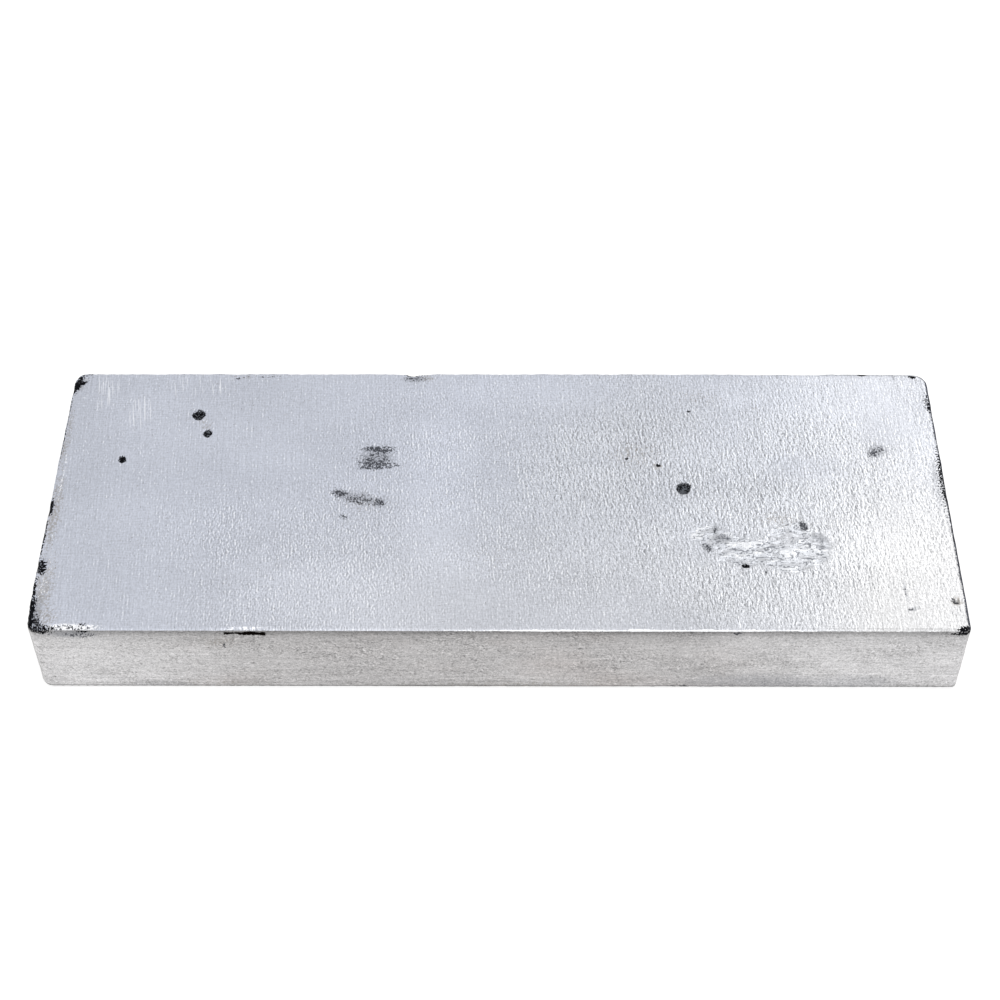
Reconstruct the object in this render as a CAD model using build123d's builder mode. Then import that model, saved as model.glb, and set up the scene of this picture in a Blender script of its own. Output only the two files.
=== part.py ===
import os

from build123d import *

# A flat ingot of cast metal, one solid piece: poured into a shallow mould, so that its wide
# face is the open one and its walls lean in towards the base. Millimetres, +Z up, with the
# origin at the middle of the base, the long side along X and the front wall towards -Y.

# Body
length = 300.0
width = 118.0
thickness = 30.0
draft_angle = 1.5
front_left_radius = 5.0
front_right_radius = 2.5
back_right_radius = 5.5
back_left_radius = 4.0
base_edge_radius = 1.5
rim_edge_radius = 0.5

# Gas pores, open on the upper face: place from the middle of the face as shares of the length
# and the width, and mouth as a share of the widest pore
pore_width = 4.8
pore_depth_share = 0.35
pore_shares = [
    (-0.347, 0.322, 0.94),
    (-0.334, 0.248, 0.66),
    (-0.427, 0.138, 0.56),
    (0.207, 0.028, 1.00),
    (0.180, 0.120, 0.36),
    (0.144, 0.145, 0.24),
    (0.268, -0.266, 0.42),
    (0.219, 0.340, 0.28),
    (-0.307, 0.474, 0.26),
    (0.485, -0.390, 0.44),
]

# Broken corners: side of each corner along X and Y, then how far the break reaches along X,
# along Y and down, as shares of the longest reach
break_reach = 12.0
corner_break_shares = [
    (-1, 1, 0.45, 0.82, 0.12),
    (-1, -1, 0.58, 1.00, 0.26),
    (1, -1, 0.38, 0.26, 0.18),
]

# Chips bitten out of the rim: place along the rim as a share of that side, and length along
# the rim as a share of the longest chip
chip_length = 7.5
chip_bite_share = 0.18
left_chip_shares = [(-0.054, 0.90), (-0.266, 0.75)]
back_chip_shares = [(-0.101, 1.00), (0.425, 0.35)]

# Cold shut, a seam under the rim of the front wall where two flows of metal failed to join
seam_length = 14.0
seam_height = 1.6
seam_depth = 1.0
seam_drop = 1.4
seam_place_share = -0.267


with BuildPart() as ingot:
    # Block with a different round at each corner, drafted from its upper face
    with BuildSketch(Plane.XY.offset(thickness)):
        with BuildLine():
            FilletPolyline(
                (-length / 2, -width / 2),
                (length / 2, -width / 2),
                (length / 2, width / 2),
                (-length / 2, width / 2),
                radius=[front_left_radius, front_right_radius, back_right_radius, back_left_radius],
                close=True,
            )
        make_face()
    extrude(amount=-thickness)
    walls = ingot.faces().sort_by(Axis.Z)[1:-1]
    draft(walls, Plane.XY.offset(thickness), -draft_angle)
    fillet(ingot.edges().group_by(Axis.Z)[0], base_edge_radius)
    fillet(ingot.edges().group_by(Axis.Z)[-1], rim_edge_radius)

    # Pores, each the cap of a sphere that stands above the upper face
    for x_share, y_share, width_share in pore_shares:
        mouth = pore_width * width_share
        depth = mouth * pore_depth_share
        ball_radius = (mouth**2 / 4 + depth**2) / (2 * depth)
        with Locations((length * x_share, width * y_share, thickness - depth + ball_radius)):
            Sphere(ball_radius, mode=Mode.SUBTRACT)

    # Broken corners, each a flat cut across the three edges of its corner
    for x_side, y_side, x_share, y_share, down_share in corner_break_shares:
        corner = Vector(x_side * length / 2, y_side * width / 2, thickness)
        along_x = Vector(-x_side * break_reach * x_share, 0, 0)
        along_y = Vector(0, -y_side * break_reach * y_share, 0)
        along_z = Vector(0, 0, -break_reach * down_share)
        across = along_x - along_z
        normal = across.cross(along_y - along_z)
        outward = normal if normal.Z > 0 else -normal
        break_plane = Plane(corner + along_z, x_dir=across, z_dir=outward)
        split(bisect_by=break_plane, keep=Keep.BOTTOM)

    # Chips, each bitten by a ball that stands out from the rim at half a right angle
    left_rim = [(Vector(-length / 2, width * place, thickness), Vector(-1, 0, 1), size)
                for place, size in left_chip_shares]
    back_rim = [(Vector(length * place, width / 2, thickness), Vector(0, 1, 1), size)
                for place, size in back_chip_shares]
    for rim_point, outward, length_share in left_rim + back_rim:
        half_chip = chip_length * length_share / 2
        bite = chip_length * length_share * chip_bite_share
        ball_radius = (half_chip**2 + bite**2) / (2 * bite)
        with Locations(rim_point + outward.normalized() * (ball_radius - bite)):
            Sphere(ball_radius, mode=Mode.SUBTRACT)

    # Cold shut
    with BuildSketch(Plane.XZ.offset(width / 2)):
        with Locations((length * seam_place_share, thickness - seam_drop)):
            SlotOverall(seam_length, seam_height)
    extrude(amount=-seam_depth, mode=Mode.SUBTRACT)

ingot.part.label = "ingot"

os.makedirs("parts", exist_ok=True)
export_step(ingot.part, "parts/ingot.step")
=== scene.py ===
import math

import bmesh
import bpy
import numpy as np
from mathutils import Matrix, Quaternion, Vector


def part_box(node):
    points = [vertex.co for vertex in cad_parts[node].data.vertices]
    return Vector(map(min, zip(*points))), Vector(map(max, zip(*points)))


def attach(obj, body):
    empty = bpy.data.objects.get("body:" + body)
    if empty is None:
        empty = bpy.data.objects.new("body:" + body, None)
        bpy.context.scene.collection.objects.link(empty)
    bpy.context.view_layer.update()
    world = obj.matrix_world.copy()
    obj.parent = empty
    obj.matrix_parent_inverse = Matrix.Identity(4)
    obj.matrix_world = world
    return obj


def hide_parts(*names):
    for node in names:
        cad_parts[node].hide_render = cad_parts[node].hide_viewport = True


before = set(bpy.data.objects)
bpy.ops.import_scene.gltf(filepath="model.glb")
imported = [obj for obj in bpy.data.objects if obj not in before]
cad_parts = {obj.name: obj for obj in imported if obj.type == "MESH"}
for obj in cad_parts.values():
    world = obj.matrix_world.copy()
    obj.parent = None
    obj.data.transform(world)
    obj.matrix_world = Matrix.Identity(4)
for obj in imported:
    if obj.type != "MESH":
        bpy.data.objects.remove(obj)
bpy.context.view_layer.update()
mm = 0.001  # metres in a millimetre
sliver = 1e-6  # keeps comparisons and divisions safe
lowCorner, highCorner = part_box("ingot")
halfLength = (highCorner.x - lowCorner.x) / 2 / mm
halfWidth = (highCorner.y - lowCorner.y) / 2 / mm
topHeight = highCorner.z / mm
print("frame loaded, ingot", round(2 * halfLength), "x", round(2 * halfWidth), "x", round(topHeight), "mm")


def hexToLinear(code):
    parts = [int(code[i:i + 2], 16) / 255 for i in (1, 3, 5)]
    return [p / 12.92 if p <= 0.04045 else ((p + 0.055) / 1.055) ** 2.4 for p in parts] + [1.0]


def softStep(low, high, value):
    t = np.clip((value - low) / (high - low), 0, 1)
    return t * t * (3 - 2 * t)


def latticeNoise(x, y, seed):  # smooth noise from -1 to 1, one cell for each unit of x and y
    cells = 256  # the pattern repeats after this many
    table = np.random.default_rng(seed).uniform(-1, 1, (cells, cells))
    cellX = np.floor(x).astype(int)
    cellY = np.floor(y).astype(int)
    shareX = softStep(0, 1, x - cellX)
    shareY = softStep(0, 1, y - cellY)
    left, right = cellX % cells, (cellX + 1) % cells
    low, high = cellY % cells, (cellY + 1) % cells
    near = table[left, low] * (1 - shareX) + table[right, low] * shareX
    far = table[left, high] * (1 - shareX) + table[right, high] * shareX
    return near * (1 - shareY) + far * shareY


def lineNoise(u, settings):  # the same along one row of the pattern: cell in millimetres, row, seed
    cell, row, seed = settings
    return latticeNoise(u / cell, np.full(len(u), row), seed)


def layer(u, v, settings):  # noise in millimetres: height, cell along u, cell along v, seed
    height, cellU, cellV, seed = settings
    return height * latticeNoise(u / cellU, v / cellV, seed)


def hollows(u, v, settings):  # a layer that only goes down, from nothing to twice its height
    return settings[0] + layer(u, v, settings)


spotFade = (1.3, 0.3)  # a spot fades in between these shares of its reach


def blotch(u, v, spots):  # the strongest of some soft-edged ovals, 0 to 1
    strongest = np.zeros(len(u))
    for middleU, middleV, reachU, reachV, turnDeg, strength in spots:
        turn = math.radians(turnDeg)
        across = ((u - middleU) * math.cos(turn) + (v - middleV) * math.sin(turn)) / reachU
        along = ((v - middleV) * math.cos(turn) - (u - middleU) * math.sin(turn)) / reachV
        strongest = np.maximum(strongest, strength * softStep(*spotFade, np.hypot(across, along)))
    return strongest


# The slab as it left the mould, all in millimetres
castSlab = {
    "draftDeg": 1.5,  # walls lean in towards the base
    "rimRadius": 0.5,
    "baseRadius": 1.5,
    "corners": [(-1, -1, 5.0), (1, -1, 2.5), (1, 1, 5.5), (-1, 1, 4.0)],  # side in x, side in y, radius
    "columnStep": 0.75,
    "rowStep": 1.2,
    "cornerZone": 5.0,  # rows crowd together this near to the front and back rims
    "cornerRows": 9,
    "rimTurns": 3,
    "wallDrops": [0.9, 1.4, 2.1, 3.0],  # rows close under the rim, measured down from the top
    "wallStep": 2.4,
    "wallStop": 1.0,  # the last row stays this far above the round of the base
    "baseTurns": 3,
    # relief: height, cell along, cell across or up, seed
    "swell": (0.06, 45, 30, 5),
    "swellFrom": 12,  # the swell is full this far in from the rim
    "wallGrain": (0.05, 2.4, 2.2, 6),
    "wallWave": (0.05, 17, 3.5, 7),
    "wallFoot": (0.05, 1.5),  # heights between which the relief of the walls sets in
}
rimRadius = castSlab["rimRadius"]
flatHalfLength = halfLength - rimRadius
flatHalfWidth = halfWidth - rimRadius


def rowEnds(rows, side):  # how far a row of the upper face runs towards that end
    pulledIn = np.zeros_like(rows)
    for cornerX, cornerY, radius in castSlab["corners"]:
        if cornerX == side:
            r = radius - rimRadius
            past = np.clip(cornerY * rows - (flatHalfWidth - r), 0, r)
            pulledIn += r - np.sqrt(r * r - past * past)
    return side * (flatHalfLength - pulledIn)


def outlineNormals(x, y):
    onFrontOrBack = np.abs(y) > flatHalfWidth - sliver
    normals = np.stack([np.where(onFrontOrBack, 0, np.sign(x)), np.where(onFrontOrBack, np.sign(y), 0)], 1)
    for cornerX, cornerY, radius in castSlab["corners"]:
        r = radius - rimRadius
        fromX = cornerX * x - (flatHalfLength - r)
        fromY = cornerY * y - (flatHalfWidth - r)
        inCorner = (fromX > -sliver) & (fromY > sliver)
        normals[inCorner] = np.stack([cornerX * fromX, cornerY * fromY], 1)[inCorner] / r
    return normals


def slabLevels():  # how far out of the upper face's outline each ring of points stands, and its height
    lean = math.tan(math.radians(castSlab["draftDeg"]))
    base = castSlab["baseRadius"]
    levels = []
    for turn in np.linspace(0, math.pi / 2, castSlab["rimTurns"] + 1)[1:]:
        levels.append((rimRadius * math.sin(turn), topHeight - rimRadius * (1 - math.cos(turn))))
    drops = castSlab["wallDrops"]
    step = castSlab["wallStep"]
    wallRows = np.arange(drops[-1] + step, topHeight - base - castSlab["wallStop"], step)
    for drop in drops + wallRows.tolist():
        levels.append((rimRadius - (drop - rimRadius) * lean, topHeight - drop))
    foot = rimRadius - (topHeight - base - rimRadius) * lean
    for turn in np.linspace(0, math.pi / 2, castSlab["baseTurns"] + 1):
        levels.append((foot - base * (1 - math.cos(turn)), base * (1 - math.sin(turn))))
    return levels


def buildSlab():
    zone, count = castSlab["cornerZone"], castSlab["cornerRows"]
    crowded = zone * (1 - np.cos(np.linspace(0, math.pi / 2, count + 1)))
    flatWidth = 2 * flatHalfWidth
    plain = np.linspace(zone, flatWidth - zone, round((flatWidth - 2 * zone) / castSlab["rowStep"]) + 1)
    rows = np.concatenate([crowded, plain[1:-1], flatWidth - crowded[::-1]]) - flatHalfWidth
    shares = np.linspace(0, 1, round(2 * flatHalfLength / castSlab["columnStep"]) + 1)
    left, right = rowEnds(rows, -1), rowEnds(rows, 1)
    x = left[:, None] + (right - left)[:, None] * shares[None, :]
    y = np.repeat(rows[:, None], len(shares), 1)
    number = np.arange(x.size).reshape(x.shape)
    points = [np.stack([x.ravel(), y.ravel(), np.full(x.size, topHeight)], 1)]
    square = [number[:-1, :-1], number[:-1, 1:], number[1:, 1:], number[1:, :-1]]
    quads = [np.stack(square, -1).reshape(-1, 4)]

    # the rim of that grid, walked round once, is let down ring by ring to the base
    ring = np.concatenate([number[0, :], number[1:, -1], number[-1, -2::-1], number[-2:0:-1, 0]])
    rimX, rimY = x.ravel()[ring], y.ravel()[ring]
    normals = outlineNormals(rimX, rimY)
    above = ring
    start = x.size
    for outset, height in slabLevels():
        ringX, ringY = rimX + normals[:, 0] * outset, rimY + normals[:, 1] * outset
        points.append(np.stack([ringX, ringY, np.full(len(ring), height)], 1))
        below = start + np.arange(len(ring))
        quads.append(np.stack([above, below, np.roll(below, -1), np.roll(above, -1)], 1))
        above = below
        start += len(ring)
    mesh = bpy.data.meshes.new("castIngot")
    faces = np.concatenate(quads).tolist() + [above[::-1].tolist()]  # the base is one flat face
    mesh.from_pydata(np.concatenate(points).tolist(), [], faces)
    mesh.update()
    return mesh


# What happened to the casting, in millimetres from the middle of the upper face
gasPores = {
    "places": [  # x, y, width of the mouth, length across the slab as a share of it, grey inside
        (-104.3, 38.0, 4.3, 1.22, 0.55), (-100.3, 29.1, 3.1, 1.20, 0.40), (-128.2, 16.5, 2.5, 1.40, 0.12),
        (62.1, 3.3, 4.8, 1.15, 0.80), (53.9, 14.1, 1.7, 1.00, 0.10), (43.3, 17.2, 1.15, 1.00, 0.20),
        (80.4, -31.4, 2.5, 0.75, 0.00), (65.4, 40.1, 1.35, 0.80, 0.00), (-92.4, 56.5, 1.25, 0.90, 0.00),
    ],
    "stained": (146.4, -46.5, 2.1, 1.00),  # the shallowest one is brown and not dark inside
    "depthShare": 0.35,
    "lobes": (0.12, 1.6, 7, 17),  # share by which the mouth strays from an oval, fineness, shift, seed
    "lip": 0.2,  # share of the bowl over which its edge is rounded
    "middleGrey": 0.4,  # the floor of a bowl shows more grey
}
cornerBreaks = {
    "places": [  # side in x, side in y, reach along x, along y and down, how black it is
        (-1, 1, 5.4, 9.8, 0.8, 0.30), (-1, -1, 7.0, 12.0, 3.1, 0.22), (1, -1, 4.6, 3.1, 2.2, 0.40),
    ],
    "rough": (0.2, 1.3, 19), "roughFrom": -0.4,  # unevenness of the broken faces: height, cell, seed
}
rimChips = {
    "places": [  # x, y, outward x, outward y, length along the rim
        (-halfLength, -6.4, -1, 0, 6.75), (-halfLength, -31.4, -1, 0, 5.6),
        (-30.3, halfWidth, 0, 1, 7.5), (127.5, halfWidth, 0, 1, 2.6),
    ],
    "biteShare": 0.18,
    "rough": (0.05, 1.1, 20), "black": 0.5,  # unevenness as a share of the ball, cell, seed
}
coldShut = {  # seam under the front rim, where two flows of metal failed to join
    "x": -80.1, "length": 14.0, "drop": 2.0, "height": 1.9, "depth": 1.0,
    "wander": 0.25, "wanderLine": (3, 0.5, 18),  # cell, row of the pattern, seed
    "gape": 0.75, "gapeRight": 0.25, "gapeZone": (-1, 2),  # share of the height, more in its right half
    "gapeWander": 0.25, "gapeLine": (1.8, 2.5, 22),
    "endFade": (1.05, 0.8), "sideFade": (1.2, 0.7),
}
tornLap = {  # skin dragged sideways while it was soft
    "lobes": [
        (69.5, -17.5, 6.5, 4.5, 0, 0.9), (76, -20.8, 9.5, 5.4, -10, 1), (77, -27.4, 9.5, 4.2, -14, 1),
        (86, -24.4, 11, 6.8, 4, 1), (97, -16.5, 9.5, 5.6, -14, 1), (102, -21, 10.5, 5.8, -14, 1),
        (99, -27.6, 12, 5.4, 5, 1), (94, -31.4, 8.5, 2.8, -4, 1),
    ],
    "wanderX": (2.2, 4, 2.5, 12), "wanderY": (1.3, 5, 4, 21),  # its ragged outline, as layers
    "edge": (0.30, 0.70),
    "depth": 0.3,
    "flakeLength": 5, "flakeWidth": 1.6,  # plates of the torn skin
    "flakes": [(0.50, 1, 13), (0.30, 2.1, 14), (0.20, 4.3, 24)],  # share, fineness, seed
    "lowStep": -0.20, "highStep": 0.14, "stepWidth": 0.05,  # where a plate ends, on noise from -1 to 1
    "folds": (0.7, 1.7, 5, 27),  # folds between the plates: share, fineness, shift, seed
    "plateEdge": (0.08, 0.015),
}
brushMarks = {
    "slant": 0.06,  # the marks lean this much from straight across the slab
    # layers: height, cell along the slab, cell across it, seed
    "wander": (0.6, 13, 13, 11),
    "ripples": [(0.50, 0.95, 6.5, 1), (0.35, 1.9, 10, 2), (0.25, 4.5, 18, 3)],
    "grit": (0.2, 2.2, 1.6, 4),
    "quiet": 0.015,  # relief in the smooth back left part
    "rough": 0.085,  # and in the ripples to the right
    "livelyShare": 0.35,  # relief of the sparkling part as a share of the ripples'
    "livelyZones": [(-60, -18, 54, 30, 0, 0.9), (-60, -45, 44, 30, 0, 0.9), (0, 15, 60, 45, 0, 0.9),
                    (50, 10, 60, 60, 0, 0.8), (20, -30, 70, 30, 0, 0.85)],
    "roughZones": [(54, 8, 60, 62, 0, 0.88), (100, 0, 45, 75, 0, 1), (150, 0, 40, 75, 0, 0.7),
                   (60, 28, 34, 28, 0, 0.75), (85, -38, 45, 28, 0, 0.9)],
    "calmZones": [(-6, -47, 16, 11, 0, 0.75), (-14, -38, 10, 8, 0, 0.6), (134, 34, 12, 14, 0, 0.45),
                  (105, 14, 16, 8, 0, 0.35), (-78, 8, 22, 16, 0, 0.4), (25, 48, 18, 9, 0, 0.4)],
    "clusters": (0.45, 13, 9, 25),  # how unevenly the sparkle lies, as a layer
    "roughClusters": 0.4,  # share of that unevenness in the ripples
}
rimWear = {
    "below": (1.2, 0.2), "inRim": (1.4, 0.3),  # how near to the rim it sets in and is full
    "wave": 0.10, "rightWave": 0.14, "rightZone": (60, 110),  # the rim wavers more towards the right
    "waveLine": (5.5, 3.5, 8),
    "nicks": (0.07, 1.3, 1.3, 9),
}
sheen = {  # broad patches a little brighter or duller than the rest, listed as the stains are; the brighter ones towards the right end are painted highlight
    "brighter": [(-20, 0, 14, 75, 0, 0.06), (-45, -48, 42, 24, 0, 0.09), (112, 46, 36, 24, 0, 0.12),
                 (80, 27, 24, 18, 0, 0.07), (122, -22, 22, 13, 0, 0.09),
                 (8, 50, 46, 12, 0, 0.05), (-78, -33, 14, 12, 0, 0.04), (-20, -33, 16, 14, 0, 0.09),
                 (36, -22, 18, 14, 0, 0.045), (98, -21, 26, 14, 0, 0.05), (82, 45, 9, 5, 0, 0.12)],
    "duller": [(-143, 20, 14, 60, 0, 0.05), (60, -48, 18, 14, 0, 0.06), (85, 3, 48, 4.5, 0, 0.05),
               (130, 27, 9, 10, 0, 0.05), (-92, 50, 24, 9, 0, 0.05)],
}
crumbles = {
    "places": [  # stretches of ragged rim: x, y, half length in x, half length in y, depth
        (-136, -58.3, 10.5, 1.9, 0.55), (-80, -58.6, 8.5, 1.3, 0.35), (-148.6, -50, 1.8, 9, 0.6),
        (-30, 58.4, 6.5, 1.4, 0.4), (-148.7, -10, 1.2, 16, 0.3), (-147.5, 53, 3, 6, 0.5),
    ],
    "lumps": [(0.5, 0.9, 0.9, 15), (0.3, 0.45, 0.5, 16)],  # layers
    "lumpBase": 0.5, "lumpMost": 1.3,
    "edge": (1, 0.6), "below": (3.5, 1.5),
}
# Stains, dirt and some painted shade along the left rim: x, y (or height, on the front wall), half length,
# half width, turn in degrees, strength
topMarks = {
    "tarnish": [
        (-146.5, -40, 4.6, 15, 0, 0.86), (-146, -53, 8, 6, 0, 0.75), (-147.8, -8, 3, 24, 0, 0.82),
        (-148.7, 26, 2, 20, 0, 0.72), (46, 19, 10, 8, 20, 0.5), (-101.5, 33.5, 2.6, 4, 20, 0.6),
        (-44, -3.5, 9, 4, -12, 0.6), (-26, 56.5, 4, 2, 0, 0.8), (89, 41.1, 1.6, 0.5, -8, 1.3),
        (146.4, -46.6, 2.3, 2.6, 0, 1.1), (53.6, 13.6, 2, 1.8, 0, 1.1), (-90, 57, 8, 1.6, 0, 0.5),
        (70, 47, 14, 5, 0, 0.35), (-2, -28, 8, 6, 0, 0.3), (93, -10.5, 9, 4, -8, 0.55),
    ],
    "smudge": [
        (-41.2, 21.4, 7.6, 2.3, -3, 1.15), (-42.4, 15.2, 8.2, 3.6, 2, 1),
        (-42.5, 13, 8.2, 1.6, 0, 1.15), (-41.8, 18, 6.6, 3.4, 0, 0.78), (-36, 13.6, 3.2, 1, 0, 1),
        (-53, 0.8, 4, 2.6, -18, 1.05), (-46.5, -1.8, 8, 3.4, -14, 0.76), (-39.8, -3.6, 2.8, 3, 20, 1),
        (-51.5, -9.8, 2.4, 1.8, 0, 0.92), (127.4, 20, 3.6, 2.6, 25, 0.95),
        (130, 21.5, 2.4, 1.6, 0, 0.95), (71.4, -15.3, 0.6, 2.4, -10, 1.1),
        (68.4, -23.4, 1.6, 2.6, 30, 1), (100.4, -13.7, 1.7, 2.9, 20, 1.1), (73.5, -19, 4, 2.2, 0, 0.62),
        (98.9, -34.5, 0.5, 0.9, 0, 1), (86.7, -34.1, 0.4, 1.6, 0, 1), (146, -46.4, 1.2, 2.1, 40, 1.15),
        (53.9, 20.4, 0.6, 0.5, 0, 1.2), (61.5, 10.1, 0.6, 0.5, 0, 1), (24.5, 34.7, 0.6, 0.5, 0, 1),
        (-35.4, 38.6, 0.6, 0.5, 0, 0.9), (132.6, -49.4, 2.6, 0.6, 12, 1.05),
        (130.8, -43, 0.4, 4, 6, 0.95), (-30, 56, 5.5, 1.8, 0, 0.75), (-83, 57, 10, 1, 0, 0.6),
        (60.7, 29, 0.5, 0.5, 0, 0.8),
    ],
    # soot and black chips, and painted shade along the left rim where its round turns from the light
    "sootAndShade": [
        (-148.7, 53, 1.7, 6.5, -15, 1.15), (-149.3, -5.5, 1.6, 5, 0, 0.95),
        (-148.2, -32.2, 2.3, 4.6, 8, 1), (-149.6, -20, 0.7, 12, 0, 0.95), (-149.4, -42, 1, 8, 0, 0.95),
        (-149, -51, 1.8, 9, 0, 1.05), (-143.5, -58, 5, 1.8, 0, 0.72),
        (-131.6, -56.4, 1.6, 0.7, 0, 0.85), (-30.3, 58.6, 4.4, 1.2, 0, 1),
        (127.3, 58.3, 2.2, 1.1, 0, 1.2), (144.9, 57, 2, 0.9, -15, 1.2), (147.6, -58, 2.8, 1.6, 10, 1.1),
        (149, 44, 1, 7, 0, 0.85), (149.1, 8, 0.9, 21, 0, 0.88), (149.8, -20, 0.5, 35, 0, 0.72),
        (148.4, 5, 1.8, 17, 0, 0.52), (148, 44, 1.6, 6, 0, 0.52), (-146.3, 54.2, 2.6, 0.8, 50, 1.1),
        (-149.5, 32, 0.6, 24, 0, 0.80),
    ],
    "haze": [  # thin grey dirt round the darker marks
        (-41.8, 17.8, 8.5, 6.2, 0, 0.80), (-47, -1.4, 9, 4.2, -14, 0.85),
        (-53.2, 1.1, 4.2, 2.6, -18, 0.85), (-39.8, -3.2, 3.2, 3, 20, 0.90),
        (128.4, 20.8, 5.4, 4, 15, 0.95), (71.4, -15, 1.4, 3.4, -10, 0.85),
        (68.6, -23.6, 2.4, 3, 20, 0.90), (100.4, -13.7, 2.6, 3.6, 20, 0.90),
        (73.4, -19.6, 4.6, 3.2, 0, 0.92), (105.5, -18.8, 4.2, 2.2, -32, 1.15),
        (106, -23, 3.2, 1.2, -10, 1.1), (-30, 56, 6.5, 2.6, 0, 0.8), (138.4, 57, 0.6, 2.8, 0, 1.2),
        (-147.3, -50, 3, 10, 0, 0.80), (-147.6, 53.5, 2.6, 5.5, -15, 0.9), (130.8, -42, 0.7, 7, 6, 1),
        (132.6, -49.4, 3, 1, 12, 1), (147.4, 5, 3.4, 19, 0, 0.66),
    ],
    "scored": [(-138, 49.5, 9, 13, 0, 0.82), (-125, 39, 8, 13, 0, 0.75),
               (-104, 53, 26, 11, 0, 0.63)],
    "crumbs": [(-135.5, -57.8, 12.5, 2.2, 0, 1), (-79.5, -58, 8.5, 1.5, 0, 0.58),
               (-147.5, 53.5, 2.4, 5.5, -20, 0.5), (-146.5, -38, 3, 16, 0, 0.44),
               (65.5, -17, 3.5, 4.5, 0, 0.45), (-147.3, 8, 0.5, 15, 0, 0.72)],
}
# on the front wall these make it darker low down and just under the rim at its left end
frontMarks = {
    "tarnish": [(-89, 24.4, 7, 4, 0, 0.6), (10, 2, 45, 3.5, 0, 0.5),
                (-95, 2, 30, 3.5, 0, 0.5)],
    "haze": [(85, 3.5, 36, 6.5, 0, 0.74), (-108, 1.5, 18, 3.5, 0, 0.6),
             (-135, 27.8, 11, 2.2, 0, 0.95), (116, 3, 20, 6.5, 0, 0.72)],
    "smudge": [
        (-87.2, 22.4, 0.7, 0.6, 0, 1.1), (75.9, 28.6, 2.4, 0.9, 0, 1.05),
        (78.6, 23.4, 0.8, 0.6, 0, 0.95), (-132, 27.4, 9, 1.6, 0, 0.7), (58.5, 1, 5, 1, 0, 1),
    ],
    "sootAndShade": [(-131.5, 29, 2.6, 0.7, 0, 1), (-144.5, 29, 4, 1, 0, 0.85),
             (146.5, 28.6, 4.5, 0.9, 0, 1)],
}
tones = {  # how strong a tone of the skin is, and the millimetres between which it sets in
    "lowWall": (13, 4), "sootAndShadeBelow": (3.0, 1.2),
    # painted glints: white specks in the colour where the fine marks would catch the light, more to the
    # right
    "paintedGlint": 0.42, "paintedGlintAll": 0.05, "paintedGlintRight": 0.25, "paintedGlintZone": (95, 140),
    "groove": 0.90, "grooveLeast": 0.35,
    "pitted": 0.10, "pittedFront": 0.30,
    "wornZone": (-60, 30), "wornFade": 0.5, "wornFadeZone": (70, 130),  # painted highlight along the front rim
    "wornReach": 0.15, "wornWander": 0.40, "wornLine": (2.5, 0.5, 26), "wornEdge": 0.35,
    "paleRight": (50, 115), "paleLeft": (-55, -140),
    "neutral": [  # share, from and to along x, from and to along y
        (0.40, -150, 0, 15, -55), (0.35, 90, 135, 70, 60), (0.45, 60, 150, 35, -25),
    ],
    "navyBelow": (1.2, 0.5), "navyInRim": (1.25, 0.6), "navyZone": (6, 3),  # dark line along the right rim
    "navy": 0.78, "navyWander": 0.35, "navyLine": (6, 0.5, 23),
    # share of the painted shade under the rim and along the base that a wall takes, more on the front
    "shaded": 0.45, "shadedFront": 0.55,
    "gain": 1.6, "scoredGain": 3.0,  # steepness of the edge of a mark
}
facing = {  # how far a surface turns before it counts as another one, as a share of its normal
    "upper": (0.25, 0.9), "allUpper": 0.999, "front": (0.4, 0.8), "right": (0.1, 0.5), "base": -0.5,
    "mostly": 0.5,
    "wall": (-0.95, -0.75), "rimTop": (0.99, 0.9), "rimSide": (0.2, 0.5),
}
never = 2.0  # takes a field well below nought on the faces where its mark can't lie
finerZones = {  # where faces are cut finer: room round each mark, lowest height, cuts in each edge
    "lap": {"x": 87.0, "y": -22.0, "halfLength": 25.0, "halfWidth": 12.0, "above": 20.0, "cuts": 2},
    "crumble": {"room": 1.0, "above": 24.0, "cuts": 1},
    "pore": {"lengthShare": 0.6, "widthShare": 0.75, "room": 0.5, "above": 28.0, "cuts": 3},
    "seam": {"room": 1.0, "halfWidth": 1.2, "above": 26.0, "cuts": 1},
}


def refine(mesh):  # finer faces where the shape is small
    lap, crumble, pore, seam = [finerZones[name] for name in ("lap", "crumble", "pore", "seam")]
    zones = [(lap["x"], lap["y"], lap["halfLength"], lap["halfWidth"], lap)]
    for x, y, reachX, reachY, depth in crumbles["places"]:
        zones.append((x, y, reachX + crumble["room"], reachY + crumble["room"], crumble))
    for x, y, width, *rest in gasPores["places"] + [gasPores["stained"]]:
        reachX = pore["lengthShare"] * width + pore["room"]
        reachY = pore["widthShare"] * width + pore["room"]
        zones.append((x, y, reachX, reachY, pore))
    seamReach = coldShut["length"] / 2 + seam["room"]
    zones.append((coldShut["x"], -halfWidth, seamReach, seam["halfWidth"], seam))
    bm = bmesh.new()
    bm.from_mesh(mesh)
    for x, y, reachX, reachY, zone in zones:
        edges = set()
        for face in bm.faces:
            centre = face.calc_center_median()
            if centre.z < zone["above"]:
                continue
            if abs(centre.x - x) < reachX and abs(centre.y - y) < reachY:
                edges.update(face.edges)
        if edges:
            bmesh.ops.subdivide_edges(bm, edges=list(edges), cuts=zone["cuts"], use_grid_fill=True)
    bm.to_mesh(mesh)
    bm.free()
    mesh.update()


def distanceIn(x, y):  # from the nearest side, round the corners too
    inRim = np.minimum(halfLength - np.abs(x), halfWidth - np.abs(y))
    for cornerX, cornerY, radius in castSlab["corners"]:
        pastX, pastY = cornerX * x - halfLength + radius, cornerY * y - halfWidth + radius
        inRim = np.where((pastX > 0) & (pastY > 0), radius - np.hypot(pastX, pastY), inRim)
    return inRim


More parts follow.
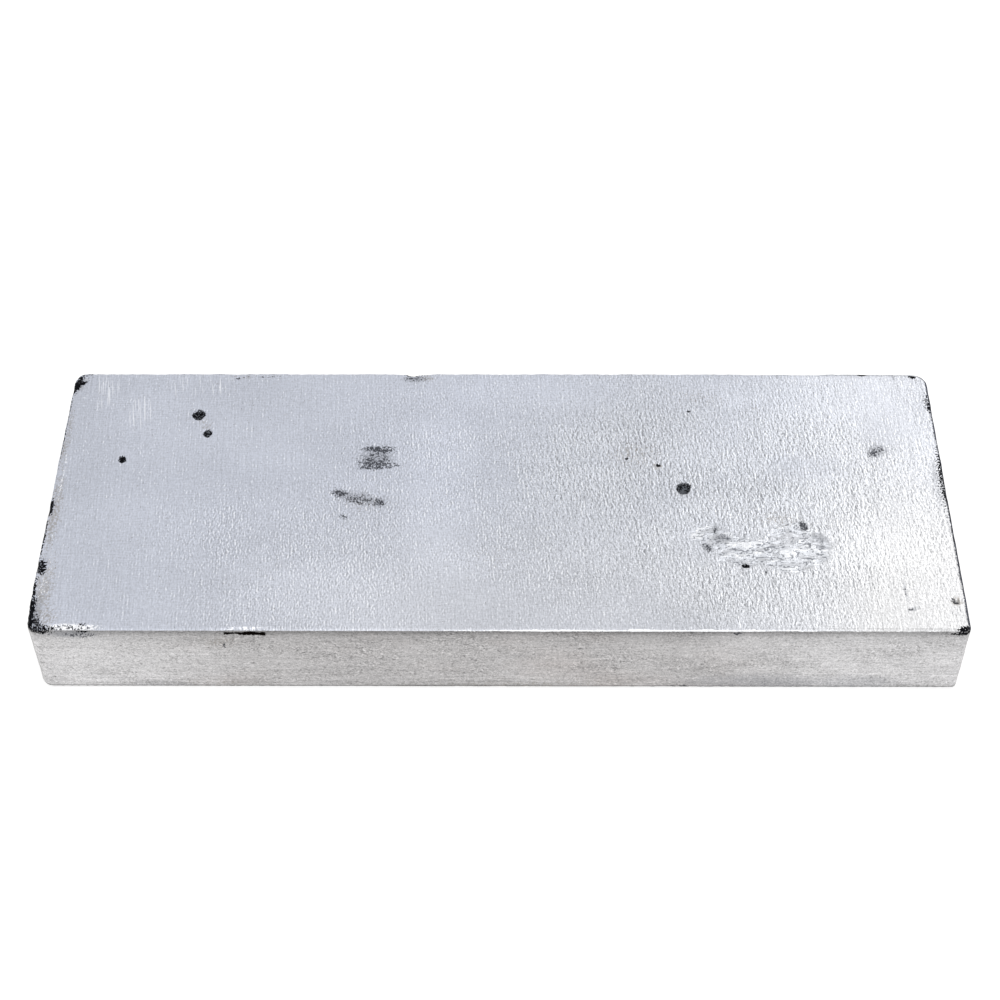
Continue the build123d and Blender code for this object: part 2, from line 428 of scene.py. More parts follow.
def brushRelief(x, y, upper):  # marks of the mould dressing, faint at the back left and deep to the right
    along = x + brushMarks["slant"] * y + layer(x, y, brushMarks["wander"])
    ripple = layer(x, y, brushMarks["grit"])
    for settings in brushMarks["ripples"]:
        ripple = ripple + layer(along, y, settings)
    calm = 1 - blotch(x, y, brushMarks["calmZones"])
    cluster = layer(x, y, brushMarks["clusters"])
    lively = np.clip(blotch(x, y, brushMarks["livelyZones"]) * calm * (1 + cluster), 0, 1)
    uneven = 1 + brushMarks["roughClusters"] * cluster
    rough = np.clip(blotch(x, y, brushMarks["roughZones"]) * calm * uneven, 0, 1)
    stir = np.maximum(brushMarks["livelyShare"] * lively, rough)
    height = brushMarks["quiet"] + (brushMarks["rough"] - brushMarks["quiet"]) * stir
    return upper * height * (1 - ripple), {"lively": lively, "rough": rough}


def skinRelief(x, y, z, normals, upper, inRim):  # swell of the upper face, grainy walls, wavering rim
    around = np.where(np.abs(normals[:, 1]) > facing["mostly"], x, y)
    swell = hollows(x, y, castSlab["swell"]) * softStep(0, castSlab["swellFrom"], inRim)
    grain = hollows(around, z, castSlab["wallGrain"]) + hollows(around, z, castSlab["wallWave"])
    grain *= softStep(*castSlab["wallFoot"], z)
    onRim = softStep(*rimWear["below"], topHeight - z) * softStep(*rimWear["inRim"], inRim)
    wave = rimWear["wave"] + rimWear["rightWave"] * softStep(*rimWear["rightZone"], x)
    wave *= 1 + lineNoise(around, rimWear["waveLine"])
    return upper * swell + (1 - upper) * grain + onRim * (wave + hollows(around, z, rimWear["nicks"]))


def lapRelief(x, y, upper):  # plates of torn skin, dragged along the slab
    lapX = x + layer(x, y, tornLap["wanderX"])
    lapY = y + layer(x, y, tornLap["wanderY"])
    lap = upper * softStep(*tornLap["edge"], blotch(lapX, lapY, tornLap["lobes"]))
    flakeX, flakeY = lapX / tornLap["flakeLength"], lapY / tornLap["flakeWidth"]
    flake = np.zeros(len(x))
    for share, fineness, seed in tornLap["flakes"]:
        flake += share * latticeNoise(fineness * flakeX, fineness * flakeY, seed)
    low, high, soft = tornLap["lowStep"], tornLap["highStep"], tornLap["stepWidth"]
    lowPlate = softStep(low + soft, low - soft, flake)
    highPlate = softStep(high - soft, high + soft, flake)
    share, fineness, shift, seed = tornLap["folds"]
    fold = latticeNoise(fineness * flakeX + shift, fineness * flakeY, seed)
    fromEdge = np.minimum(np.abs(flake - low), np.abs(flake - high))
    fromEdge = np.minimum(fromEdge, share * np.abs(fold))
    depth = lap * tornLap["depth"] * (1 + lowPlate - highPlate) / 2
    fields = {"lap": lap, "lowPlate": lap * lowPlate, "highPlate": lap * highPlate}
    fields["plateEdge"] = lap * softStep(*tornLap["plateEdge"], fromEdge)
    return depth, fields


def crumbleRelief(x, y, z):  # ragged stretches of the rim
    lumps = crumbles["lumpBase"]
    for settings in crumbles["lumps"]:
        lumps = lumps + layer(x, y + z, settings)
    lumps = np.clip(lumps, 0, crumbles["lumpMost"]) * softStep(*crumbles["below"], topHeight - z)
    depth = np.zeros(len(x))
    for middleX, middleY, reachX, reachY, deepest in crumbles["places"]:
        away = np.maximum(np.abs(x - middleX) / reachX, np.abs(y - middleY) / reachY)
        depth += deepest * lumps * softStep(*crumbles["edge"], away)
    return depth


def poreRelief(x, y, upper):  # round bowls, with the distance in from their mouths
    depth = np.zeros(len(x))
    pore = np.full(len(x), -never)
    speckled = np.full(len(x), -1.0)
    stray, fineness, shift, seed = gasPores["lobes"]
    for middleX, middleY, width, stretch, *grey in gasPores["places"] + [gasPores["stained"]]:
        away = np.hypot(x - middleX, (y - middleY) / stretch)
        turn = np.arctan2(y - middleY, x - middleX)
        lobeX = fineness * np.cos(turn) + shift * middleX
        lobeY = fineness * np.sin(turn) + middleY
        mouth = width / 2 * (1 + stray * latticeNoise(lobeX, lobeY, seed))
        cap = np.clip(1 - (away / mouth) ** 2, 0, 1)
        bowl = width * gasPores["depthShare"]
        depth += upper * bowl * np.sqrt(cap) * softStep(0, gasPores["lip"], cap)
        if grey:
            # the mouth of each bowl is painted dark inside as shade, its floor greyer
            pore = np.maximum(pore, np.where(upper > facing["mostly"], mouth - away, -never))
            speckled = np.where(away < mouth, grey[0] + gasPores["middleGrey"] * cap ** 2, speckled)
    return depth, {"pore": pore, "speckled": speckled}


def seamShare(x, y, z, upper):  # 1 in the cold shut
    fromMiddle = x - coldShut["x"]
    alongSeam = np.abs(fromMiddle) / (coldShut["length"] / 2)
    middle = topHeight - coldShut["drop"] + coldShut["wander"] * lineNoise(x, coldShut["wanderLine"])
    gape = coldShut["gape"] + coldShut["gapeRight"] * softStep(*coldShut["gapeZone"], fromMiddle)
    gape += coldShut["gapeWander"] * lineNoise(x, coldShut["gapeLine"])
    acrossSeam = np.abs(z - middle) / (coldShut["height"] / 2 * gape)
    gap = softStep(*coldShut["endFade"], alongSeam) * softStep(*coldShut["sideFade"], acrossSeam)
    return (1 - upper) * (y < 0) * gap


def breakCorners(points, x, y, z):  # cut off along rough planes
    broken = np.full(len(x), -1.0)
    size = np.array([halfLength, halfWidth, topHeight])
    height, cell, seed = cornerBreaks["rough"]
    uneven = height * latticeNoise(x / cell + z, y / cell, seed)
    for sideX, sideY, reachX, reachY, down, black in cornerBreaks["places"]:
        side = np.array([sideX, sideY, 1])
        plane = 1 / np.array([reachX, reachY, down])
        steepness = np.linalg.norm(plane)
        over = (1 - (size - side * points) @ plane) / steepness
        over += uneven * (over > cornerBreaks["roughFrom"])
        points -= side * (np.clip(over, 0, None)[:, None] * plane / steepness)
        broken = np.maximum(broken, np.clip(over, -1, black))
    return broken


def biteChips(points, x, y, z):  # each bitten out of the rim by a rough ball
    broken = np.full(len(x), -1.0)
    share, cell, seed = rimChips["rough"]
    uneven = 1 + share * latticeNoise(x / cell + z, y / cell, seed)
    for middleX, middleY, outX, outY, chipLength in rimChips["places"]:
        bite = chipLength * rimChips["biteShare"]
        ball = ((chipLength / 2) ** 2 + bite ** 2) / (2 * bite)
        outward = np.array([outX, outY, 1]) / math.sqrt(2)
        centre = np.array([middleX, middleY, topHeight]) + (ball - bite) * outward
        offset = points - centre
        away = np.linalg.norm(offset, axis=1)
        reach = ball * uneven
        inside = away < reach
        points[inside] = centre + offset[inside] / away[inside, None] * reach[inside, None]
        broken = np.maximum(broken, np.clip(reach - away, -1, rimChips["black"]))
    return broken


def toneFields(fields, x, y, z, normals):  # where the tones of bare skin lie
    upper, front, lap = fields["upper"], fields["front"], fields["lap"]
    onWall = 1 - upper
    # painted glints, most where the skin is stirred and towards the right end
    paintedGlint = tones["paintedGlint"] * np.maximum(fields["lively"], fields["rough"]) + tones["paintedGlintAll"]
    paintedGlint += tones["paintedGlintRight"] * softStep(*tones["paintedGlintZone"], x)
    fields["paintedGlint"] = paintedGlint - never * onWall - lap
    # darker lines in the ripples: painted shade of the ripples' grooves
    fields["groove"] = tones["groove"] * fields["rough"] - tones["grooveLeast"] - never * onWall - lap
    fields["pitted"] = tones["pitted"] + tones["pittedFront"] * front - never * upper
    fields["low"] = softStep(*tones["lowWall"], z)
    fields["pale"] = front * np.maximum(softStep(*tones["paleRight"], x), softStep(*tones["paleLeft"], x))
    fields["sheen"] = upper * (blotch(x, y, sheen["brighter"]) - blotch(x, y, sheen["duller"]))
    neutral = np.zeros(len(x))
    for share, fromX, toX, fromY, toY in tones["neutral"]:
        neutral += share * softStep(fromX, toX, x) * softStep(fromY, toY, y)
    fields["neutral"] = np.clip(neutral, 0, 1)
    # how much painted shade under the rim and along the base a wall takes: most on the front, none on the
    # base
    notBase = softStep(*facing["wall"], normals[:, 2])
    fields["shaded"] = onWall * (tones["shaded"] + tones["shadedFront"] * front) * notBase


def markFields(fields, x, y, z, normals, inRim, seam):  # where stains, dirt and worn edges lie
    upper, front, below = fields["upper"], fields["front"], topHeight - z
    marks = {"lap": fields["lap"], "seam": seam}

    # painted highlight along the front rim: white on the round of the rim and the edge of the upper face
    alongRim = softStep(*tones["wornZone"], x)
    alongRim *= 1 - tones["wornFade"] * softStep(*tones["wornFadeZone"], x)
    wander = 1 + lineNoise(x, tones["wornLine"])
    reach = tones["wornReach"] + alongRim * tones["wornWander"] * wander
    fillet = softStep(*facing["rimTop"], normals[:, 2]) * softStep(*facing["rimSide"], normals[:, 2])
    nearFront = upper * softStep(reach + tones["wornEdge"], reach, halfWidth + y)
    marks["worn"] = np.maximum(fillet * (y < 0), nearFront) * alongRim

    # dark line along the right rim
    turnedRight = normals[:, 0] / np.maximum(np.hypot(normals[:, 0], normals[:, 1]), sliver)
    rightRim = softStep(*facing["right"], turnedRight) * (upper < facing["allUpper"])
    rightRim = np.maximum(rightRim, softStep(*tones["navyZone"], halfLength - x))
    rightRim *= tones["navy"] + tones["navyWander"] * lineNoise(y, tones["navyLine"])
    marks["navy"] = softStep(*tones["navyBelow"], below) * softStep(*tones["navyInRim"], inRim) * rightRim

    for name, spots in topMarks.items():
        # the soot and the painted shade along the left rim also reach a little down the walls
        reach = softStep(*tones["sootAndShadeBelow"], below) if name == "sootAndShade" else upper
        marks[name] = reach * blotch(x, y, spots)
    for name, spots in frontMarks.items():
        marks[name] = np.maximum(marks[name], front * blotch(x, z, spots))
    for name, values in marks.items():
        gain = tones["scoredGain"] if name == "scored" else tones["gain"]
        fields[name + "Edge"] = gain * values - (gain - 1)  # well below nought where there is none


def carve(mesh):
    flat = np.zeros(len(mesh.vertices) * 3, np.float32)
    mesh.vertices.foreach_get("co", flat)
    points = flat.reshape(-1, 3).astype(float)
    mesh.vertices.foreach_get("normal", flat)
    normals = flat.reshape(-1, 3).astype(float)
    x, y, z = points.T.copy()
    upper = softStep(*facing["upper"], normals[:, 2])
    front = softStep(*facing["front"], -normals[:, 1])
    inRim = distanceIn(x, y)

    brushDepth, fields = brushRelief(x, y, upper)
    lapDepth, lapFields = lapRelief(x, y, upper)
    poreDepth, poreFields = poreRelief(x, y, upper)
    seam = seamShare(x, y, z, upper)
    depth = brushDepth + skinRelief(x, y, z, normals, upper, inRim) + lapDepth
    depth += crumbleRelief(x, y, z) + poreDepth + coldShut["depth"] * seam
    depth[normals[:, 2] < facing["base"]] = 0  # the base stays flat
    points -= normals * depth[:, None]
    broken = breakCorners(points, x, y, z)
    broken = np.maximum(broken, biteChips(points, x, y, z))

    fields.update({**lapFields, **poreFields, "upper": upper, "front": front, "broken": broken})
    toneFields(fields, x, y, z, normals)
    markFields(fields, x, y, z, normals, inRim, seam)
    mesh.vertices.foreach_set("co", (points * mm).astype(np.float32).ravel())
    for name, values in fields.items():
        mesh.attributes.new(name, "FLOAT", "POINT").data.foreach_set("value", values.astype(np.float32))
    mesh.polygons.foreach_set("use_smooth", np.ones(len(mesh.polygons), bool))
    mesh.update()


slabMesh = buildSlab()
refine(slabMesh)
carve(slabMesh)
castIngot = bpy.data.objects.new("castIngot", slabMesh)
bpy.context.scene.collection.objects.link(castIngot)
slabMesh.calc_loop_triangles()
print("ingot carved,", len(slabMesh.loop_triangles), "triangles")


def addNode(tree, kind, settings, links=None):  # one node, its settings, and what feeds its sockets
    node = tree.nodes.new("ShaderNode" + kind)
    for key, value in settings.items():
        if isinstance(key, str) and key in node.bl_rna.properties:
            setattr(node, key, value)
        else:
            node.inputs[key].default_value = value
    for key, source in (links or {}).items():
        tree.links.new(source, node.inputs[key])
    return node


def newMaterial(name):
    material = bpy.data.materials.new(name)
    material.use_nodes = True
    material.node_tree.nodes.clear()
    return material, material.node_tree


# Cast aluminium with the skin it had from a brushed mould: dull silver, with fine marks across the slab
# and small sparkles painted into its colour as glints, and a greyer, grainy skin on the walls
castSkin = {
    "quietHex": "#c3c7d2",
    "roughHex": "#c5c8cf",
    "neutralHex": "#c8c8c9",  # the blue cast fades towards the front right
    "wallHex": "#bcbaba",
    "wallWarmHex": "#b9b3b1",  # faint brown patches of the wall
    "wallEndHex": "#d7d6d7",  # the wall is paler towards its ends
    "roughness": 0.36, "dirtRoughness": 0.75,
    # size of a cell in millimetres (along the slab, across it, up), detail, distortion, and for a noise
    # that is painted light on one side and painted shade on the other, as a lit ridge shows, the distance
    # between the two
    "noises": {
        "speck": ((0.33, 0.55, 0.55), 0.0, 0.0, (0, 0, 0)),  # real grit is finer, drawn coarse to show
        "line": ((0.70, 14.0, 14.0), 0.0, 0.0, (0.36, 0, 0)),
        "score": ((0.50, 14.0, 14.0), 0.0, 0.0, (0.30, 0, 0)),
        "dash": ((0.60, 1.30, 1.30), 0.0, 0.0, (0.34, 0, 0)),
        "ripple": ((0.55, 1.45, 1.45), 0.5, 0.4, (0.34, 0, 0)),
        "weave": ((2.60, 0.50, 0.50), 0.0, 0.0, (0, 0, 0)),
        "cloud": ((34.0, 22.0, 16.0), 2.0, 0.0, (0, 0, 0)),
        "grain": ((1.30, 1.30, 0.80), 1.0, 1.2, (0.40, 0.40, 0.36)),
        "patch": ((22.0, 22.0, 9.00), 1.0, 0.0, (0, 0, 0)),
        "streak": ((15.0, 15.0, 0.80), 1.5, 0.4, (0, 0, 0)),
        "drag": ((2.20, 0.45, 0.45), 2.0, 1.0, (0, 0, 0)),
        "fleck": ((0.50, 0.65, 0.50), 0.5, 0.0, (0, 0, 0)),
        "clot": ((0.70, 0.95, 0.80), 1.0, 0.3, (0, 0, 0)),
    },
    "bands": {  # fine lines across the slab: spacing in millimetres, cell of their wander, wander, fineness
        "ridge": (1.60, 4.5, 7.0, 1.5),
    },
    # slant of the brush marks across the slab
    "leaning": {"speck": 0.06, "line": 0.06, "score": 0.126, "dash": 0.06, "ripple": 0.06},
    "tilt": {"grain": -0.30},  # the wall's grain climbs a little to the right
    "mixes": {  # contrast that each noise gives the skin
        "quiet": {"dash": 0.25, "line": 0.18, "speck": 0.18, "weave": 0.26, "cloud": 0.20},
        "lively": {"dash": 0.78, "line": 0.22, "speck": 0.55, "weave": 0.30, "cloud": 0.20},
        "rough": {"ripple": 1.20, "ridge": 0.28, "speck": 0.80, "weave": 0.30, "cloud": 0.25},
        "lap": {"drag": 1.15, "grain": 0.80, "speck": 0.60},
        "wall": {"grain": 1.35, "speck": 0.50, "streak": 0.36, "patch": 0.25},
        "wallCalm": {"grain": 0.72, "speck": 0.50, "streak": 0.50, "patch": 0.25},
        "wallLow": {"streak": 0.80, "grain": 0.90, "speck": 0.40, "patch": 0.25},
        "wallPlain": {"streak": 0.70, "grain": 0.45, "speck": 0.35, "patch": 0.35},  # back and ends
        "mottle": {"clot": 0.70, "fleck": 0.70},
        "dashes": {"dash": 1.00, "line": 0.45, "speck": 0.40},  # dashes in lines across the slab
        "grooves": {"ripple": 0.80, "ridge": 0.30, "speck": 0.35},
    },
    "paintedWallShade": [  # painted shade under the rim and along the base: heights in millimetres and the share of its colour that the wall keeps at each
        (topHeight - 9, topHeight - 1, 1.0, 0.82), (topHeight - 3.2, topHeight - 0.3, 1.0, 0.6),
        (0, 5, 0.84, 1.0), (0.5, 1.8, 0.05, 1.0),
    ],
    "warmPatch": (0.0, 0.25, 0.55),  # noise at which brown patches begin and are full, and their share
    "paleCalms": 0.15, "calmEdge": 0.10,  # the grain is calmer where the wall is pale
    "paleWander": 0.5, "paleEndShare": 0.8,
    "dullMarks": ("sootAndShadeEdge", "seamEdge", "broken", "pore"),  # these take the shine away
    "bump": 0.00006,  # metres of bump for noise from 0 to 1
}
# Marks on the skin, laid over each other in this order: field of the mesh, pattern that frays it and how
# much, the field's value at the outer and inner edge, colour, and how much of it shows
skinMarks = [
    # painted shade in the grooves of the ripples
    ("groove", "grooves", -2.8, 0.75, 1.45, "#87898f", 0.60),
    # painted glints
    ("paintedGlint", "dashes", 2.5, 0.90, 1.40, "#f8f9fb", 0.65),
    ("scoredEdge", "score", 3.4, 0.60, 1.05, "#f0f2f7", 0.75),
    ("lapEdge", "drag", 1.0, 0.10, 0.80, "#dcdfe5", 0.50),
    ("highPlate", "drag", 3.2, 0.55, 1.15, "#f6f7f9", 0.62),
    ("lowPlate", "drag", -3.2, 0.40, 0.95, "#b4b5b9", 0.60),
    ("plateEdge", "drag", -1.4, 0.40, 0.80, "#6c6f76", 0.80),
    ("pitted", "grain", -2.4, 0.75, 1.40, "#7b7a78", 0.45),
    # painted highlight along the front rim
    ("wornEdge", "grain", 1.8, 0.10, 0.60, "#f6f7f9", 0.90),
    ("tarnishEdge", "mottle", 4.0, 0.10, 1.20, "#918a81", 0.62),
    ("hazeEdge", "fleck", 1.2, 0.00, 1.00, "#85878d", 0.60),
    ("smudgeEdge", "mottle", 3.4, 0.35, 1.10, "#36383e", 0.92),
    ("navyEdge", "fleck", 1.8, -0.20, 0.30, "#2b2f3e", 0.92),
    ("crumbsEdge", "fleck", 3.0, 0.30, 0.70, "#f3f4f7", 0.95),
    ("crumbsEdge", "fleck", -3.0, 1.05, 1.40, "#303136", 0.90),
    # soot and chips, and painted shade along the left rim
    ("sootAndShadeEdge", "fleck", 3.0, 0.25, 0.65, "#17181c", 1.00),
    ("seamEdge", "fleck", 1.0, -0.10, 0.30, "#15110d", 1.00),
    ("broken", "fleck", 1.5, -0.20, 0.25, "#191a1e", 1.00),
    # painted shade inside the pores
    ("pore", "fleck", 1.3, -0.12, 0.20, "#17181b", 1.00),
    ("speckled", "fleck", 4.0, 0.80, 1.20, "#82868d", 0.75),
]
mixA, mixB, colourA, colourB, colourOut = 2, 3, 6, 7, 2  # sockets of a Mix node


def surfaceNoises(tree, spot):  # each noise of the skin, from about -0.5 to 0.5
    noises = {}
    for name, (cell, detail, twist, shift) in castSkin["noises"].items():
        turn = (0, castSkin["tilt"].get(name, 0), math.atan(castSkin["leaning"].get(name, 0)))
        look = {"Scale": 1.0, "Detail": detail, "Distortion": twist}
        middle = addNode(tree, "Math", {"operation": "SUBTRACT", 1: 0.5})
        # a shifted copy taken away paints light on one side of a ridge and shade on the other
        for side in (0, 1) if any(shift) else (0,):
            placing = {"vector_type": "TEXTURE", "Rotation": turn, "Scale": cell}
            placing["Location"] = [side * part for part in shift]
            grid = addNode(tree, "Mapping", placing, {"Vector": spot})
            noise = addNode(tree, "TexNoise", look, {"Vector": grid.outputs[0]})
            tree.links.new(noise.outputs["Fac"], middle.inputs[side])
        noises[name] = middle.outputs[0]
    turn = (0, 0, math.atan(brushMarks["slant"]))
    for name, (spacing, cell, wander, fineness) in castSkin["bands"].items():
        cells = (spacing * 10 / math.pi, cell, cell)  # a wave's bands lie pi / 10 apart
        grid = addNode(tree, "Mapping", {"vector_type": "TEXTURE", "Rotation": turn, "Scale": cells},
                       {"Vector": spot})
        look = {"Scale": 1.0, "Distortion": wander, "Detail": 1.0, "Detail Scale": fineness}
        band = addNode(tree, "TexWave", look, {"Vector": grid.outputs[0]})
        middle = addNode(tree, "Math", {"operation": "SUBTRACT", 1: 0.5}, {0: band.outputs["Fac"]})
        noises[name] = middle.outputs[0]
    return noises


def skinMixes(tree, noises):  # the noises added up with their weights
    mixes = {}
    for mix, weights in castSkin["mixes"].items():
        total = None
        for name, weight in weights.items():
            settings = {"operation": "MULTIPLY_ADD", 1: weight, 2: 0.0}
            scaled = addNode(tree, "Math", settings, {0: noises[name]})
            if total:
                tree.links.new(total, scaled.inputs[2])
            total = scaled.outputs[0]
        mixes[mix] = total
    return mixes


def skinPattern(tree, fields, noises, mixes):  # which mix shows where
    top = mixes["quiet"]
    for zone in ("lively", "rough", "lap"):
        top = addNode(tree, "Mix", {}, {0: fields[zone], mixA: top, mixB: mixes[zone]}).outputs[0]
    calmer = addNode(tree, "Math", {"operation": "MULTIPLY_ADD", 1: castSkin["paleCalms"]},
                     {0: fields["pale"], 2: noises["patch"]})
    edge = castSkin["calmEdge"]
    calm = addNode(tree, "MapRange", {"From Min": -edge, "From Max": edge},
                   {"Value": calmer.outputs[0]})
    wall = mixes["wall"]
    for share, mix in ((calm.outputs[0], "wallCalm"), (fields["low"], "wallLow")):
        wall = addNode(tree, "Mix", {}, {0: share, mixA: wall, mixB: mixes[mix]}).outputs[0]
    wall = addNode(tree, "Mix", {}, {0: fields["front"], mixA: mixes["wallPlain"], mixB: wall})
    return addNode(tree, "Mix", {}, {0: fields["upper"], mixA: wall.outputs[0], mixB: top}).outputs[0]


def bareColour(tree, fields, noises):  # the skin before any mark: bluish on top, warmer on the walls
    begin, full, share = castSkin["warmPatch"]
    warm = addNode(tree, "MapRange", {"From Min": begin, "From Max": full, "To Max": share},
                   {"Value": noises["cloud"]})
    wallHexes = {"data_type": "RGBA", colourA: hexToLinear(castSkin["wallHex"])}
    wallHexes[colourB] = hexToLinear(castSkin["wallWarmHex"])
    wall = addNode(tree, "Mix", wallHexes, {0: warm.outputs[0]})
    paler = addNode(tree, "Math", {"operation": "MULTIPLY_ADD", 1: castSkin["paleWander"]},
                      {0: noises["patch"], 2: fields["pale"]})
    paleEnds = addNode(tree, "MapRange", {"To Max": castSkin["paleEndShare"]}, {"Value": paler.outputs[0]})
    wall = addNode(tree, "Mix", {"data_type": "RGBA", colourB: hexToLinear(castSkin["wallEndHex"])},
                   {0: paleEnds.outputs[0], colourA: wall.outputs[colourOut]})
    topHexes = {"data_type": "RGBA", colourA: hexToLinear(castSkin["quietHex"])}
    topHexes[colourB] = hexToLinear(castSkin["roughHex"])
    top = addNode(tree, "Mix", topHexes, {0: fields["rough"]})
    top = addNode(tree, "Mix", {"data_type": "RGBA", colourB: hexToLinear(castSkin["neutralHex"])},
                  {0: fields["neutral"], colourA: top.outputs[colourOut]})
    bare = addNode(tree, "Mix", {"data_type": "RGBA"},
                   {0: fields["upper"], colourA: wall.outputs[colourOut], colourB: top.outputs[colourOut]})
    return bare.outputs[colourOut]


def skinShade(tree, fields, skin, height):  # painted ridge light and groove shade, sheen, painted shade under the rim and at the base
    edges = None
    for low, high, lowShade, highShade in castSkin["paintedWallShade"]:
        bounds = {"From Min": low, "From Max": high, "To Min": lowShade, "To Max": highShade}
        band = addNode(tree, "MapRange", {"interpolation_type": "SMOOTHSTEP", **bounds}, {"Value": height})
        both = addNode(tree, "Math", {"operation": "MULTIPLY", 1: 1.0}, {0: band.outputs[0]})
        if edges:
            tree.links.new(edges, both.inputs[1])
        edges = both.outputs[0]
    edgeShade = addNode(tree, "Mix", {mixA: 1.0}, {0: fields["shaded"], mixB: edges})
    tone = addNode(tree, "Math", {"operation": "ADD"}, {0: skin, 1: fields["sheen"]})
    tone = addNode(tree, "Math", {"operation": "ADD", 1: 1.0}, {0: tone.outputs[0]})
    shade = addNode(tree, "Math", {"operation": "MULTIPLY"},
                    {0: tone.outputs[0], 1: edgeShade.outputs[0]})
    return shade.outputs[0]


def castAluminium():
    material, tree = newMaterial("castAluminiumBrushedMould")
    place = addNode(tree, "TexCoord", {})
    spot = addNode(tree, "VectorMath", {"operation": "SCALE", "Scale": 1 / mm},
                   {0: place.outputs["Object"]}).outputs[0]
    height = addNode(tree, "SeparateXYZ", {}, {0: spot}).outputs[2]
    noises = surfaceNoises(tree, spot)
    mixes = skinMixes(tree, noises)
    patterns = {**noises, **mixes}
    zoneNames = ["upper", "front", "lively", "rough", "lap", "low", "pale", "sheen", "neutral", "shaded"]
    fields = {}
    for name in zoneNames + [mark[0] for mark in skinMarks]:
        if name not in fields:
            fields[name] = addNode(tree, "Attribute", {"attribute_name": name}).outputs["Fac"]
    skin = skinPattern(tree, fields, noises, mixes)
    toned = addNode(tree, "VectorMath", {"operation": "SCALE"},
                    {0: bareColour(tree, fields, noises), "Scale": skinShade(tree, fields, skin, height)})
    colour = toned.outputs[0]
    dull = None
    for name, pattern, fray, outer, inner, shadeHex, share in skinMarks:
        torn = addNode(tree, "Math", {"operation": "MULTIPLY_ADD", 1: fray},
                       {0: patterns[pattern], 2: fields[name]})
        mask = addNode(tree, "MapRange", {"From Min": outer, "From Max": inner, "To Max": share},
                       {"Value": torn.outputs[0]})
        colour = addNode(tree, "Mix", {"data_type": "RGBA", colourB: hexToLinear(shadeHex)},
                         {0: mask.outputs[0], colourA: colour}).outputs[colourOut]
        if name in castSkin["dullMarks"]:
            dirt = addNode(tree, "Math", {"operation": "MAXIMUM", 1: 0.0}, {0: mask.outputs[0]})
            if dull:
                tree.links.new(dull, dirt.inputs[1])
            dull = dirt.outputs[0]
    shine = {"To Min": castSkin["roughness"], "To Max": castSkin["dirtRoughness"]}
    gloss = addNode(tree, "MapRange", shine, {"Value": dull})
    bump = addNode(tree, "Bump", {"Strength": 1.0, "Distance": castSkin["bump"]}, {"Height": skin})
    shader = addNode(tree, "BsdfPrincipled", {"Metallic": 1.0},
                     {"Base Color": colour, "Roughness": gloss.outputs[0], "Normal": bump.outputs[0]})
    addNode(tree, "OutputMaterial", {}, {"Surface": shader.outputs[0]})
    return material


castIngot.data.materials.append(castAluminium())
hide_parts("ingot")
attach(castIngot, "root")
print("skin done")

# Pale floor, white surround and soft lamps
studio = {
    "floorSize": 6.0,
    "floorDrop": 0.00005,  # metres, keeps it clear of the base
    "floorHex": "#f4f4f4",
    "floorGlow": 0.62,
    "surround": 0.5,
    "lamps": [  # name, place, aim, width and length in metres, power in watts
        ("rightSoftbox", (0.27, 0.26, 0.38), (0.14, -0.045, 0.03), (0.16, 0.30), 0.18),
        ("overheadSoftbox", (0.05, -0.25, 0.90), (0.0, 0.0, 0.02), (0.5, 0.5), 1.0),
    ],
}


def paleFloor():
    size = studio["floorSize"] / 2
    mesh = bpy.data.meshes.new("paleFloor")
    corners = [(-size, -size), (size, -size), (size, size), (-size, size)]
    mesh.from_pydata([(x, y, -studio["floorDrop"]) for x, y in corners], [], [(0, 1, 2, 3)])
    material, tree = newMaterial("paleStudioFloor")  # matt paper, nearly white, mirrored as white
    path = addNode(tree, "LightPath", {})
    mirrored = addNode(tree, "Math", {"operation": "MAXIMUM"},
                       {0: path.outputs["Is Glossy Ray"], 1: path.outputs["Is Transmission Ray"]})
    paper = addNode(tree, "BsdfDiffuse", {"Color": hexToLinear(studio["floorHex"])})
    glow = addNode(tree, "Emission", {"Strength": studio["floorGlow"]})
    lit = addNode(tree, "AddShader", {}, {0: paper.outputs[0], 1: glow.outputs[0]})
    white = addNode(tree, "Emission", {"Strength": 1.0})
    mixed = addNode(tree, "MixShader", {},
                    {0: mirrored.outputs[0], 1: lit.outputs[0], 2: white.outputs[0]})
    addNode(tree, "OutputMaterial", {}, {"Surface": mixed.outputs[0]})
    mesh.materials.append(material)
    floor = bpy.data.objects.new("paleFloor", mesh)
    bpy.context.scene.collection.objects.link(floor)


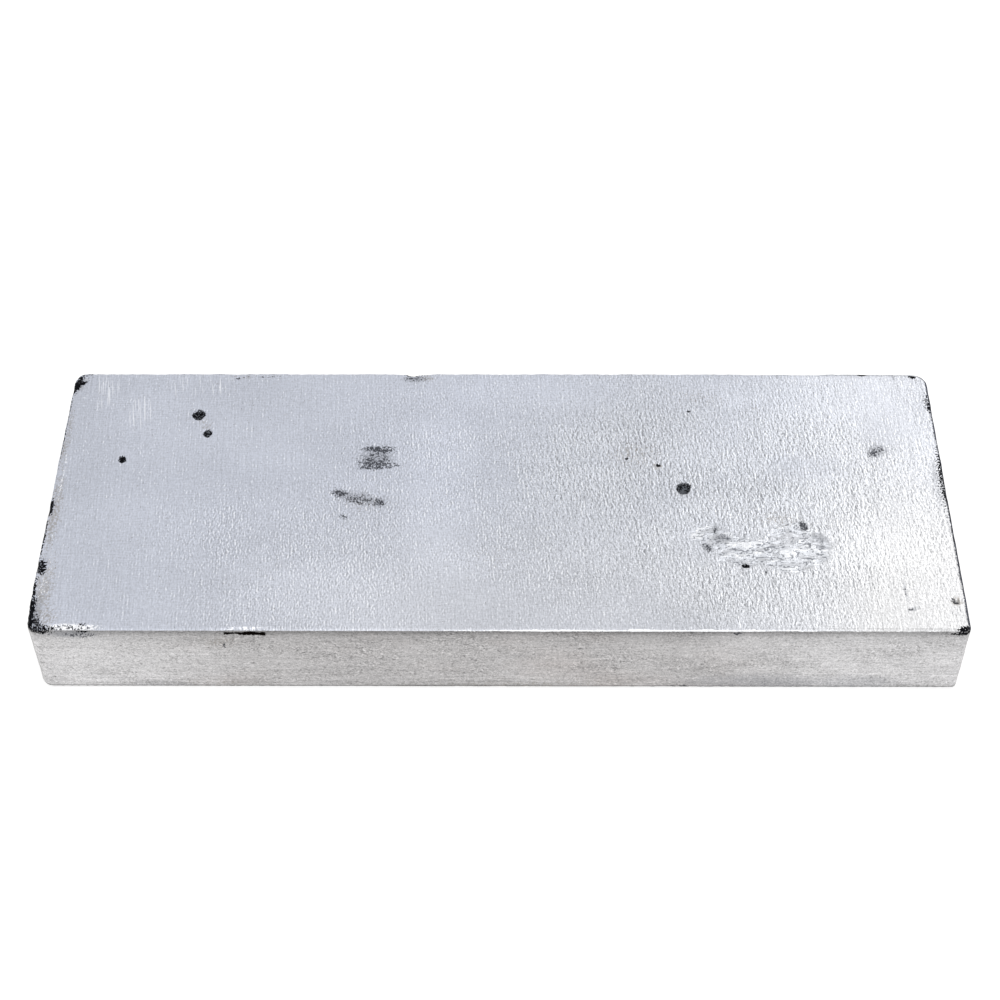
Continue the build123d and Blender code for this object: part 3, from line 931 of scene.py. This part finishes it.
def whiteSurround():
    world = bpy.data.worlds.new("whiteSurround")
    world.use_nodes = True
    tree = world.node_tree
    tree.nodes.clear()
    path = addNode(tree, "LightPath", {})
    seen = addNode(tree, "Math", {"operation": "MAXIMUM"},
                   {0: path.outputs["Is Camera Ray"], 1: path.outputs["Is Glossy Ray"]})
    seenOrThrough = addNode(tree, "Math", {"operation": "MAXIMUM"},
                            {0: seen.outputs[0], 1: path.outputs["Is Transmission Ray"]})
    strength = addNode(tree, "MapRange", {"To Min": studio["surround"]},
                       {"Value": seenOrThrough.outputs[0]})
    sky = addNode(tree, "Background", {"Color": (1, 1, 1, 1)}, {"Strength": strength.outputs[0]})
    addNode(tree, "OutputWorld", {}, {"Surface": sky.outputs[0]})
    bpy.context.scene.world = world


def softLamp(name, place, aim, size, power):
    lamp = bpy.data.lights.new(name, "AREA")
    lamp.shape = "RECTANGLE"
    lamp.size, lamp.size_y = size
    lamp.energy = power
    holder = bpy.data.objects.new(name, lamp)
    holder.location = place
    away = holder.location - Vector(aim)
    holder.rotation_mode = "QUATERNION"
    holder.rotation_quaternion = away.to_track_quat("Z", "Y")
    holder.visible_camera = False
    bpy.context.scene.collection.objects.link(holder)


paleFloor()
whiteSurround()
for lampSettings in studio["lamps"]:
    softLamp(*lampSettings)

viewpoint = {  # where the photo was taken from, in metres, degrees and millimetres
    "place": (0.00833, -0.4957, 0.5575),
    "turnDeg": 0.911, "pitchDeg": 46.908, "rollDeg": -0.623,
    "lens": 77.93,
}
cameraData = bpy.data.cameras.new("photoCamera")
cameraData.lens = viewpoint["lens"]
camera = bpy.data.objects.new("photoCamera", cameraData)
camera.location = viewpoint["place"]
camera.rotation_mode = "QUATERNION"
camera.rotation_quaternion = (Quaternion((0, 0, 1), math.radians(viewpoint["turnDeg"]))
                              @ Quaternion((1, 0, 0), math.radians(90 - viewpoint["pitchDeg"]))
                              @ Quaternion((0, 0, 1), math.radians(viewpoint["rollDeg"])))
bpy.context.scene.collection.objects.link(camera)
bpy.context.scene.camera = camera
bpy.context.scene.view_settings.view_transform = "Standard"
print("studio and camera set")
